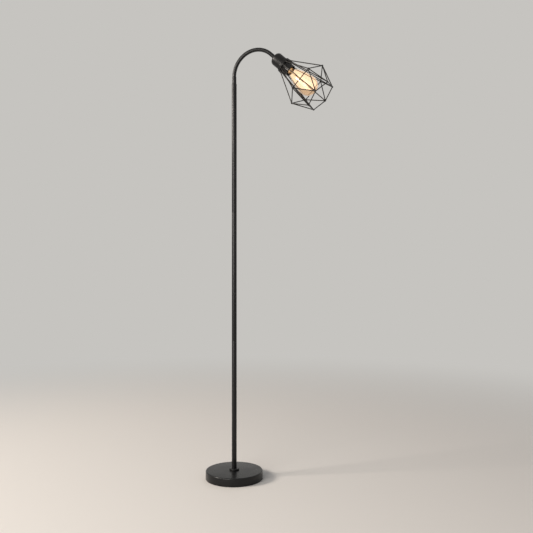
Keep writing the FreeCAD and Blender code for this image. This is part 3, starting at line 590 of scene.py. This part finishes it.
# %% Skirt
SKIRT_BACK = 68.0
SKIRT_MOUTH = 111.0
SKIRT_RADIUS = 22.0
SKIRT_BORE = 19.0
SKIRT_FLANGE_RADIUS = 23.55
SKIRT_PITCH = 3.2
SKIRT_THREAD_DEPTH = 0.8


def thread_wave(height, angle, pitch):
    """A rounded ridge between 0 and 1 that climbs one pitch in a turn."""
    return 0.5 + 0.5 * np.cos(2 * math.pi * (height / pitch) - angle)


def skirt_ripple(radius, height, angle):
    """Cuts the thread's valleys into the skirt's outside only, fading towards both ends."""
    outside = (radius > SKIRT_RADIUS - 0.1) & (radius < SKIRT_RADIUS + 0.1)
    fade = smooth_step((height - CUP_FRONT - 2) / 2) * smooth_step((SKIRT_MOUTH - 2.5 - height) / 2)
    return -SKIRT_THREAD_DEPTH * thread_wave(height, angle, SKIRT_PITCH) * fade * outside


skirt_line = np.concatenate([
    [(SKIRT_BORE, SKIRT_BACK), (SKIRT_FLANGE_RADIUS, SKIRT_BACK), (SKIRT_FLANGE_RADIUS, CUP_FRONT),
     (SKIRT_RADIUS, CUP_FRONT)],
    dense((SKIRT_RADIUS, CUP_FRONT + 1), (SKIRT_RADIUS, SKIRT_MOUTH - 0.6), 0.1 * SKIRT_PITCH),
    [(SKIRT_RADIUS - 0.25, SKIRT_MOUTH - 0.15), (SKIRT_RADIUS - 0.7, SKIRT_MOUTH),
     (SKIRT_BORE + 0.6, SKIRT_MOUTH), (SKIRT_BORE + 0.15, SKIRT_MOUTH - 0.2),
     (SKIRT_BORE, SKIRT_MOUTH - 0.7), (SKIRT_BORE, SKIRT_BACK)],
])
make_piece("lampholder_skirt", [on_head(turned(skirt_line, ripple=skirt_ripple))], phenolic, "arm",
           ["holder_skirt"])

# %% Screw shell inside the skirt
SHELL_START = 80.2
SHELL_END = SHELL_START + 24.0
SHELL_OUTSIDE = 14.2
SHELL_INSIDE = 13.75
SHELL_THREAD_DEPTH = 0.35
LAMP_PITCH = 3.62
THREAD_SPACING = 0.4


def shell_ripple(radius, height, angle):
    """Rolls the lamp thread into the thin shell: both its walls move in and out together."""
    fade = smooth_step((height - SHELL_START - 1) / 3) * smooth_step((SHELL_END - 1 - height) / 2)
    return -SHELL_THREAD_DEPTH * thread_wave(height, angle, LAMP_PITCH) * fade


shell_line = np.concatenate([
    dense((SHELL_OUTSIDE, SHELL_START), (SHELL_OUTSIDE, SHELL_END), THREAD_SPACING),
    dense((SHELL_INSIDE, SHELL_END), (SHELL_INSIDE, SHELL_START), THREAD_SPACING),
    [(SHELL_OUTSIDE, SHELL_START)],
])
make_piece("lampholder_screw_shell", [on_head(turned(shell_line, ripple=shell_ripple))], brass, "arm",
           ["thread_shell"])

# %% [markdown]
# ## The ring that clamps the cage
#
# A resin ring screws along the skirt and presses the cage's collar against the cup. Round finger
# grooves run along its outside. They are a cosine of the angle, sharpened so that the lands between
# them stay broad.

# %% Ring
RING_BACK = 74.6
RING_FRONT = RING_BACK + 9.0
RING_RADIUS = 25.7
RING_BORE = 22.3
RING_GROOVES = 20
GROOVE_DEPTH = 0.7
GROOVE_SHARPNESS = 3


def ring_ripple(radius, height, angle):
    """Cuts round grooves into the outside, with their ends run out before the ring's edges."""
    outside = smooth_step((radius - RING_RADIUS + 1.2) / 1.0)
    along = smooth_step((height - RING_BACK - 0.6) / 1.2) * smooth_step((RING_FRONT - 0.6 - height) / 1.2)
    groove = (0.5 + 0.5 * np.cos(RING_GROOVES * angle)) ** GROOVE_SHARPNESS
    return -GROOVE_DEPTH * groove * outside * along


ring_corners = outline([
    (RING_BORE, RING_BACK, 0.4), (RING_RADIUS, RING_BACK, 0.8), (RING_RADIUS, RING_FRONT, 0.8),
    (RING_BORE, RING_FRONT, 0.6),
])
ring_stretches = [dense(a, b, 0.6)[:-1] for a, b in zip(ring_corners[:-1], ring_corners[1:])]
ring_line = np.concatenate(ring_stretches + [ring_corners[-1:]])
make_piece("cage_clamp_ring", [on_head(turned(ring_line, 240, ring_ripple))], phenolic, "ring",
           ["shade_ring"])

# %% [markdown]
# ## The cage
#
# The collar is a shallow spun cup whose edge is turned in. Twelve wires leave its edge, all of them
# straight: six short spokes to the corners of a wide hexagon, and six long ones to the corners of
# the smaller hexagon at the mouth, which is turned by half a side. Twelve diagonals join the two
# hexagons. A wire is a thin round rod that flares where it runs into a weld, and a weld is a small
# uneven bead.

# %% Collar
COLLAR_BACK = 72.3
COLLAR_FRONT = 83.3
COLLAR_RADIUS = 30.0
COLLAR_BORE = 22.3
COLLAR_LIP_RADIUS = 26.1
COLLAR_WALL = 1.5
COLLAR_FLOOR = COLLAR_BACK + 2.0

collar_outline = outline([
    (COLLAR_BORE, COLLAR_BACK, 0.3), (COLLAR_RADIUS, COLLAR_BACK, 1.6), (COLLAR_RADIUS, COLLAR_FRONT, 0.9),
    (COLLAR_LIP_RADIUS, COLLAR_FRONT, 0.5), (COLLAR_LIP_RADIUS, COLLAR_FRONT - COLLAR_WALL, 0.5),
    (COLLAR_RADIUS - COLLAR_WALL, COLLAR_FRONT - COLLAR_WALL, 0),
    (COLLAR_RADIUS - COLLAR_WALL, COLLAR_FLOOR, 0), (COLLAR_BORE, COLLAR_FLOOR, 0.3),
])
make_piece("cage_cup", [on_head(turned(collar_outline, 128))], head_coat, "cage", ["cage_collar"])

# %% Corners of the cage
WIRE_RADIUS = 1.8
CAGE_ROLL = -4.0
ROOT_RADIUS = 28.1
WAIST_RADIUS = 87.0
WAIST_DEPTH = COLLAR_BACK + 125.3
MOUTH_RADIUS = 61.2
MOUTH_DEPTH = COLLAR_BACK + 196.7


def six_corners(radius, turn, depth):
    """Six points on a circle round the head's axis, turned by an angle in degrees."""
    angle = np.radians(CAGE_ROLL + turn + 60.0 * np.arange(6))
    return np.stack([radius * np.cos(angle), radius * np.sin(angle), np.full(6, depth)], axis=1)


spoke_roots = six_corners(ROOT_RADIUS, 0, COLLAR_FRONT)
long_roots = six_corners(ROOT_RADIUS, 30, COLLAR_FRONT)
waist = six_corners(WAIST_RADIUS, 0, WAIST_DEPTH)
mouth = six_corners(MOUTH_RADIUS, 30, MOUTH_DEPTH)
print("spoke", round(np.linalg.norm(waist[0] - spoke_roots[0]), 1), "mm, long wire",
      round(np.linalg.norm(mouth[0] - long_roots[0]), 1), "mm")

# %% Wires
FLARE_MM = 0.7
FLARE_REACH = 1.6
WIRE_SIDES = 14


def wire(start, finish):
    """A rod between two points. Its radius grows by FLARE_MM e^(-d / FLARE_REACH) at a distance d
    from either end, where the weld has wetted it, and both ends close to a point."""
    length = np.linalg.norm(finish - start)
    way = (finish - start) / length
    ends = np.array([0, 0.4, 0.9, 1.6, 2.6, 4.0, 6.5])
    along = np.concatenate([ends, np.linspace(10, length - 10, 6), length - ends[::-1]])
    radii = WIRE_RADIUS + FLARE_MM * (np.exp(-along / FLARE_REACH) + np.exp((along - length) / FLARE_REACH))
    along, radii = np.concatenate([[0], along, [length]]), np.concatenate([[0], radii, [0]])
    side = np.cross(way, [0.0, 0.0, 1.0])
    side = side / np.linalg.norm(side)
    path = start + along[:, None] * way
    return swept(path, np.tile(way, (len(along), 1)), side, radii, WIRE_SIDES)


def wires(name, starts, finishes, solid):
    """One piece of rods from each start to its finish."""
    grids = [on_head(wire(a, b)) for a, b in zip(starts, finishes)]
    make_piece(name, grids, wire_coat, "cage", [solid])


wires("spoke_wires", spoke_roots, waist, "cage_spokes")
wires("inner_wires", long_roots, mouth, "cage_long_wires")
wires("waist_wires", waist, np.roll(waist, -1, axis=0), "cage_waist_ring")
wires("mouth_wires", mouth, np.roll(mouth, -1, axis=0), "cage_mouth_ring")
wires("diagonal_wires", np.concatenate([waist, np.roll(waist, -1, axis=0)]),
      np.concatenate([mouth, mouth]), "cage_diagonals")

# %% Welds
WELD_RADIUS = 3.1
WELD_WAVER = 1 / 12


def weld(centre):
    """A bead: a ball whose radius wavers by a twelfth with three crossed sines of its place."""
    tilt = np.linspace(0, math.pi, 15)[:, None]
    angle = np.linspace(0, 2 * math.pi, 25)[None, :]
    ball = np.stack([
        np.sin(tilt) * np.cos(angle), np.sin(tilt) * np.sin(angle), np.cos(tilt) + 0 * angle,
    ], axis=-1)
    seed = centre * 0.37
    waver = (np.sin(4 * ball[..., 0] + seed[0]) + np.sin(5 * ball[..., 1] + seed[1])
             + np.sin(4 * ball[..., 2] + seed[2])) / 3
    grid = centre + ball * (WELD_RADIUS * (1 + WELD_WAVER * waver))[..., None]
    grid[:, -1] = grid[:, 0]
    grid[0], grid[-1] = grid[0, 0], grid[-1, 0]
    return grid


make_piece("weld_beads", [on_head(weld(corner)) for corner in np.concatenate([waist, mouth])],
           wire_coat, "cage", ["cage_welds"])

# %% [markdown]
# ## The bulb
#
# The cap is thin metal rolled into the lamp thread. The glass is blown: a straight neck, a short
# hollow curve, a long full curve out to the belly, and a flat oval crown. Both arcs meet with the
# same slope, which fixes their shared angle: twice the arctangent of how far the side swells over
# how far it rises.

# %% Cap, insulator and contact
BULB_SEAT = 83.7
CAP_END = BULB_SEAT + 27.0
CAP_RADIUS = 13.1
CAP_INSIDE = CAP_RADIUS - 0.4
CAP_THREAD_DEPTH = 0.85
INSULATOR_BACK = BULB_SEAT + 1.5


def cap_ripple(radius, height, angle):
    """Rolls the thread into both walls of the cap, between its plain ends."""
    fade = smooth_step((height - BULB_SEAT - 7) / 2) * smooth_step((CAP_END - 5 - height) / 2)
    return -CAP_THREAD_DEPTH * thread_wave(height, angle, LAMP_PITCH) * fade


cap_line = np.concatenate([
    [(12.2, BULB_SEAT + 5.5)],
    dense((CAP_RADIUS, BULB_SEAT + 6.5), (CAP_RADIUS, CAP_END), THREAD_SPACING),
    dense((CAP_INSIDE, CAP_END), (CAP_INSIDE, BULB_SEAT + 6.8), THREAD_SPACING),
    [(11.8, BULB_SEAT + 5.8), (12.2, BULB_SEAT + 5.5)],
])
make_piece("bulb_screw_cap", [on_head(turned(cap_line, ripple=cap_ripple))], nickel, "bulb",
           ["bulb_shell"])
insulator_line = outline([
    (0, INSULATOR_BACK, 0), (4.5, INSULATOR_BACK, 0.4), (11.8, BULB_SEAT + 5.3, 0.4), (0, BULB_SEAT + 5.5, 0),
])
make_piece("bulb_cap_glass", [on_head(turned(insulator_line))], cap_glass, "bulb", ["bulb_insulator"])
contact_line = outline([
    (0, BULB_SEAT, 0), (2.2, BULB_SEAT, 0.8), (4.4, INSULATOR_BACK, 0.3), (0, INSULATOR_BACK, 0),
])
make_piece("bulb_solder_point", [on_head(turned(contact_line))], solder, "bulb", ["bulb_contact"])

# %% Glass
NECK_START = CAP_END - 5.0
NECK_RADIUS = 12.5
NECK_END = NECK_START + 6.0
BELLY_RADIUS = 37.0
BULB_TIP = BULB_SEAT + 156.0
CROWN = 35.7
BELLY_DEPTH = BULB_TIP - CROWN
GLASS_WALL = 1.0
HOLLOW_SHARE = 0.08


def glass_side(inset):
    """The glass's side from its foot to its tip: neck, hollow arc, full arc and oval crown."""
    neck, belly, crown = NECK_RADIUS - inset, BELLY_RADIUS - inset, CROWN - inset
    rise, swell = BELLY_DEPTH - NECK_END, belly - neck
    turn = 2 * math.atan2(swell, rise)
    total = rise / math.sin(turn)
    hollow, full = HOLLOW_SHARE * total, (1 - HOLLOW_SHARE) * total
    a = np.linspace(0, turn, 9)[:-1]
    b = np.linspace(turn, 0, 41)[:-1]
    c = np.linspace(0, math.pi / 2, 33)
    parts = [
        np.stack([np.full(3, neck), np.linspace(NECK_START, NECK_END, 4)[:-1]], 1),
        np.stack([neck + hollow * (1 - np.cos(a)), NECK_END + hollow * np.sin(a)], 1),
        np.stack([belly - full * (1 - np.cos(b)), BELLY_DEPTH - full * np.sin(b)], 1),
        np.stack([belly * np.cos(c), BELLY_DEPTH + crown * np.sin(c)], 1),
    ]
    side = np.concatenate(parts)
    side[-1, 0] = 0
    return side


outer_side, inner_side = glass_side(0), glass_side(GLASS_WALL)
glass_grids = [on_head(turned(line, 128)) for line in (
    outer_side, inner_side[::-1], np.array([inner_side[0], outer_side[0]]))]
make_piece("bulb_envelope", glass_grids, amber_glass, "bulb", ["bulb_glass"])

# %% [markdown]
# ### Inside the bulb
#
# A glass stem, flared out to the neck at its foot, carries a thin glass mast. Two stars of nickel
# wire stand out from the mast, and six lit rods lean between them.

# %% Stem, stars and rods
STEM_TOP = NECK_START + 32.0
MAST_TOP = STEM_TOP + 76.0
HIGH_STAR = MAST_TOP - 1.6
LOW_STAR = HIGH_STAR - 68.0
LOW_REACH = 8.0
HIGH_REACH = 13.0
STEM_FOOT_RADIUS = 11.45
STEM_RADIUS = 4.0
MAST_RADIUS = 1.0
ROD_RADIUS = 0.9
SUPPORT_RADIUS = 0.4

stem_line = outline([
    (0, NECK_START, 0), (STEM_FOOT_RADIUS, NECK_START, 0.3), (STEM_FOOT_RADIUS, NECK_START + 1.0, 0.3),
    (STEM_RADIUS + 1.0, NECK_START + 6.0, 3.0), (STEM_RADIUS, NECK_START + 14.0, 3.0),
    (STEM_RADIUS, STEM_TOP, 1.5), (MAST_RADIUS, STEM_TOP + 1.0, 0.5), (MAST_RADIUS, MAST_TOP, 0.6),
    (0, MAST_TOP, 0),
])
make_piece("bulb_glass_stem", [on_head(turned(stem_line, 48))], stem_glass, "bulb", ["bulb_stem"])


def rod(start, finish, radius, sides=16):
    """A rod with rounded ends between two points."""
    length = np.linalg.norm(finish - start)
    way = (finish - start) / length
    cap = np.linspace(0, math.pi / 2, 5)
    along = np.concatenate([radius * (1 - np.cos(cap)), length - radius * (1 - np.cos(cap[::-1]))])
    radii = np.concatenate([radius * np.sin(cap), radius * np.sin(cap[::-1])])
    side = np.cross(way, [-way[1], way[0], 1.0])
    side = side / np.linalg.norm(side)
    return swept(start + along[:, None] * way, np.tile(way, (len(along), 1)), side, radii, sides)


def star_points(reach, depth):
    """Six points round the mast."""
    angle = np.radians(60.0 * np.arange(6))
    return np.stack([reach * np.cos(angle), reach * np.sin(angle), np.full(6, depth)], axis=1)


low_points, high_points = star_points(LOW_REACH, LOW_STAR), star_points(HIGH_REACH, HIGH_STAR)
rods = [on_head(rod(low, high, ROD_RADIUS)) for low, high in zip(low_points, high_points)]
make_piece("lit_rods", rods, rod_light, "bulb", ["bulb_filaments"])
supports = [
    on_head(rod(point * [0, 0, 1], point, SUPPORT_RADIUS, 8))
    for point in np.concatenate([low_points, high_points])
]
make_piece("rod_supports", supports, support_wire, "bulb", ["bulb_frame"])

# %% [markdown]
# ## The lead's inlet and the disc under the base
#
# A rubber grommet grips the edge of the hole between two lips. The rubber disc under the weight is
# what the lamp stands on, with a small rounding at its edge.

# %% Inlet and disc
INLET_HEIGHT = 10.0
INLET_BACK, INLET_FRONT = 106.5, 111.9
GRIP_BACK, GRIP_FRONT = 108.3, 110.1
INLET_BORE = 3.1
INLET_LIP_RADIUS = 6.5
GRIP_RADIUS = 4.8
DISC_RADIUS = 103.0
DISC_TOP = 2.0


def facing_back(grid):
    """Turns a shape made along Z to face out of the back of the base, at the inlet's height."""
    return MM * np.stack([-grid[..., 2], grid[..., 1], INLET_HEIGHT + grid[..., 0]], axis=-1)


grommet_line = outline([
    (INLET_BORE, INLET_BACK, 0.5), (INLET_LIP_RADIUS, INLET_BACK, 0.7), (INLET_LIP_RADIUS, GRIP_BACK, 0.4),
    (GRIP_RADIUS, GRIP_BACK, 0.2), (GRIP_RADIUS, GRIP_FRONT, 0.2), (INLET_LIP_RADIUS, GRIP_FRONT, 0.4),
    (INLET_LIP_RADIUS, INLET_FRONT, 0.9), (INLET_BORE, INLET_FRONT, 0.7),
])
make_piece("lead_inlet", [facing_back(turned(grommet_line, 64))], rubber, "stand", ["cord_grommet"])
disc_line = outline([(0, 0, 0), (DISC_RADIUS, 0, 0.5), (DISC_RADIUS, DISC_TOP, 0.5), (0, DISC_TOP, 0)])
make_piece("floor_disc", [upright(turned(disc_line, 160))], floor_rubber, "stand", ["base_pad"])

# %% [markdown]
# ## Finishes for the solids that stay
#
# The parts inside the base, the tubes and the lampholder keep their solids. Each only gets the
# finish of what it is made of.

# %% Finishes on the hidden solids
HIDDEN_FINISHES = {
    "base_weight": cast_iron, "base_nipple": zinc, "base_washer": zinc, "lock_washer": zinc,
    "base_nut": zinc, "pole_inserts": zinc, "joint_nipples": zinc, "arm_stop_ring": zinc,
    "arm_insert": zinc, "head_nipple": zinc, "terminal_screws": zinc, "holder_dome": phenolic,
    "holder_insulator": porcelain, "centre_contact": brass,
}
for solid, finish in HIDDEN_FINISHES.items():
    frame["nodes"][solid].data.materials.clear()
    frame["nodes"][solid].data.materials.append(finish)
print(len(HIDDEN_FINISHES), "solids keep their shape")

# %% [markdown]
# ## The studio
#
# A wide pale floor turns into a plain grey background with distance from the lamp, so there is no
# hard line behind it. The background shows to the camera, and in gloss and glass, at its own colour.
# To everything else the world is a plain soft light.

# %% Floor and background
BACKGROUND = "#C6C4C0"
FLOOR = "#E9E4DE"
FLOOR_REACH_M = 30.0
FADE_START_MM, FADE_END_MM = 900.0, 3600.0

bpy.ops.mesh.primitive_plane_add(size=2 * FLOOR_REACH_M)
floor = bpy.context.object
floor.name = "studio_floor"
floor_finish, tree, shader = new_finish("pale_studio_floor", {"Roughness": 0.75, "Specular IOR Level": 0.2})
shader.inputs["Base Color"].default_value = hex_colour(FLOOR)
place = add_node(tree, "ShaderNodeTexCoord")
distance = add_node(tree, "ShaderNodeVectorMath", links={0: place.outputs["Object"]}, operation="LENGTH")
far = add_node(tree, "ShaderNodeMapRange", {
    "From Min": FADE_START_MM * MM, "From Max": FADE_END_MM * MM,
}, {"Value": distance.outputs["Value"]}, interpolation_type="SMOOTHSTEP")
backdrop = add_node(tree, "ShaderNodeEmission", {"Color": hex_colour(BACKGROUND), "Strength": 1.0})
fade = add_node(tree, "ShaderNodeMixShader", links={
    "Fac": far.outputs["Result"], 1: shader.outputs[0], 2: backdrop.outputs[0]})
tree.links.new(fade.outputs[0], tree.nodes["Material Output"].inputs["Surface"])
floor.data.materials.append(floor_finish)

world = bpy.data.worlds.new("studio")
world.use_nodes = True
bpy.context.scene.world = world
tree = world.node_tree
shown = tree.nodes["Background"]
shown.inputs["Color"].default_value = hex_colour(BACKGROUND)
shown.inputs["Strength"].default_value = 1.0
lighting = add_node(tree, "ShaderNodeBackground", {"Color": hex_colour("#F2F4F8"), "Strength": 0.27})
ray = add_node(tree, "ShaderNodeLightPath")
seen = add_node(tree, "ShaderNodeMath", links={
    0: ray.outputs["Is Camera Ray"], 1: ray.outputs["Is Glossy Ray"]}, operation="ADD")
seen = add_node(tree, "ShaderNodeMath", links={
    0: seen.outputs[0], 1: ray.outputs["Is Transmission Ray"]}, operation="ADD", use_clamp=True)
choice = add_node(tree, "ShaderNodeMixShader", links={
    "Fac": seen.outputs[0], 1: lighting.outputs[0], 2: shown.outputs[0]})
tree.links.new(choice.outputs[0], tree.nodes["World Output"].inputs["Surface"])

# %% [markdown]
# ## Lights
#
# The key lamp stands far off on the left, at twice the height of the cage, and throws the shadows to
# the right. A broad lamp in front, left of the camera, draws the light streak down the pole. A weak
# one fills from the right, and another from behind draws the cage's wires off the background.

# %% Lights


def soft_lamp(name, place, target, size, watts, colour):
    """A square lamp that faces its target. Places and sizes are in metres."""
    data = bpy.data.lights.new(name, "AREA")
    data.size = size
    data.energy = watts
    data.color = hex_colour(colour)[:3]
    lamp = bpy.data.objects.new(name, data)
    lamp.location = place
    way = np.array(target) - np.array(place)
    tilt = math.atan2(math.hypot(way[0], way[1]), -way[2])
    lamp.rotation_euler = (tilt, 0, math.atan2(way[0], -way[1]) + math.pi)
    bpy.context.scene.collection.objects.link(lamp)


soft_lamp("key", (-4.4, -3.6, 3.2), (0, 0, 0.7), 1.5, 330, "#FFF6EC")
soft_lamp("front", (-0.4, -4.2, 1.5), (0, 0, 0.8), 2.4, 110, "#FFFAF4")
soft_lamp("fill", (3.2, -1.4, 2.2), (0, 0, 0.9), 2.2, 4, "#F2F5FF")
soft_lamp("back", (-0.8, 2.8, 3.0), (0, 0, 1.0), 1.6, 8, "#FFFFFF")

# %% Colour handling
bpy.context.scene.view_settings.view_transform = "Standard"
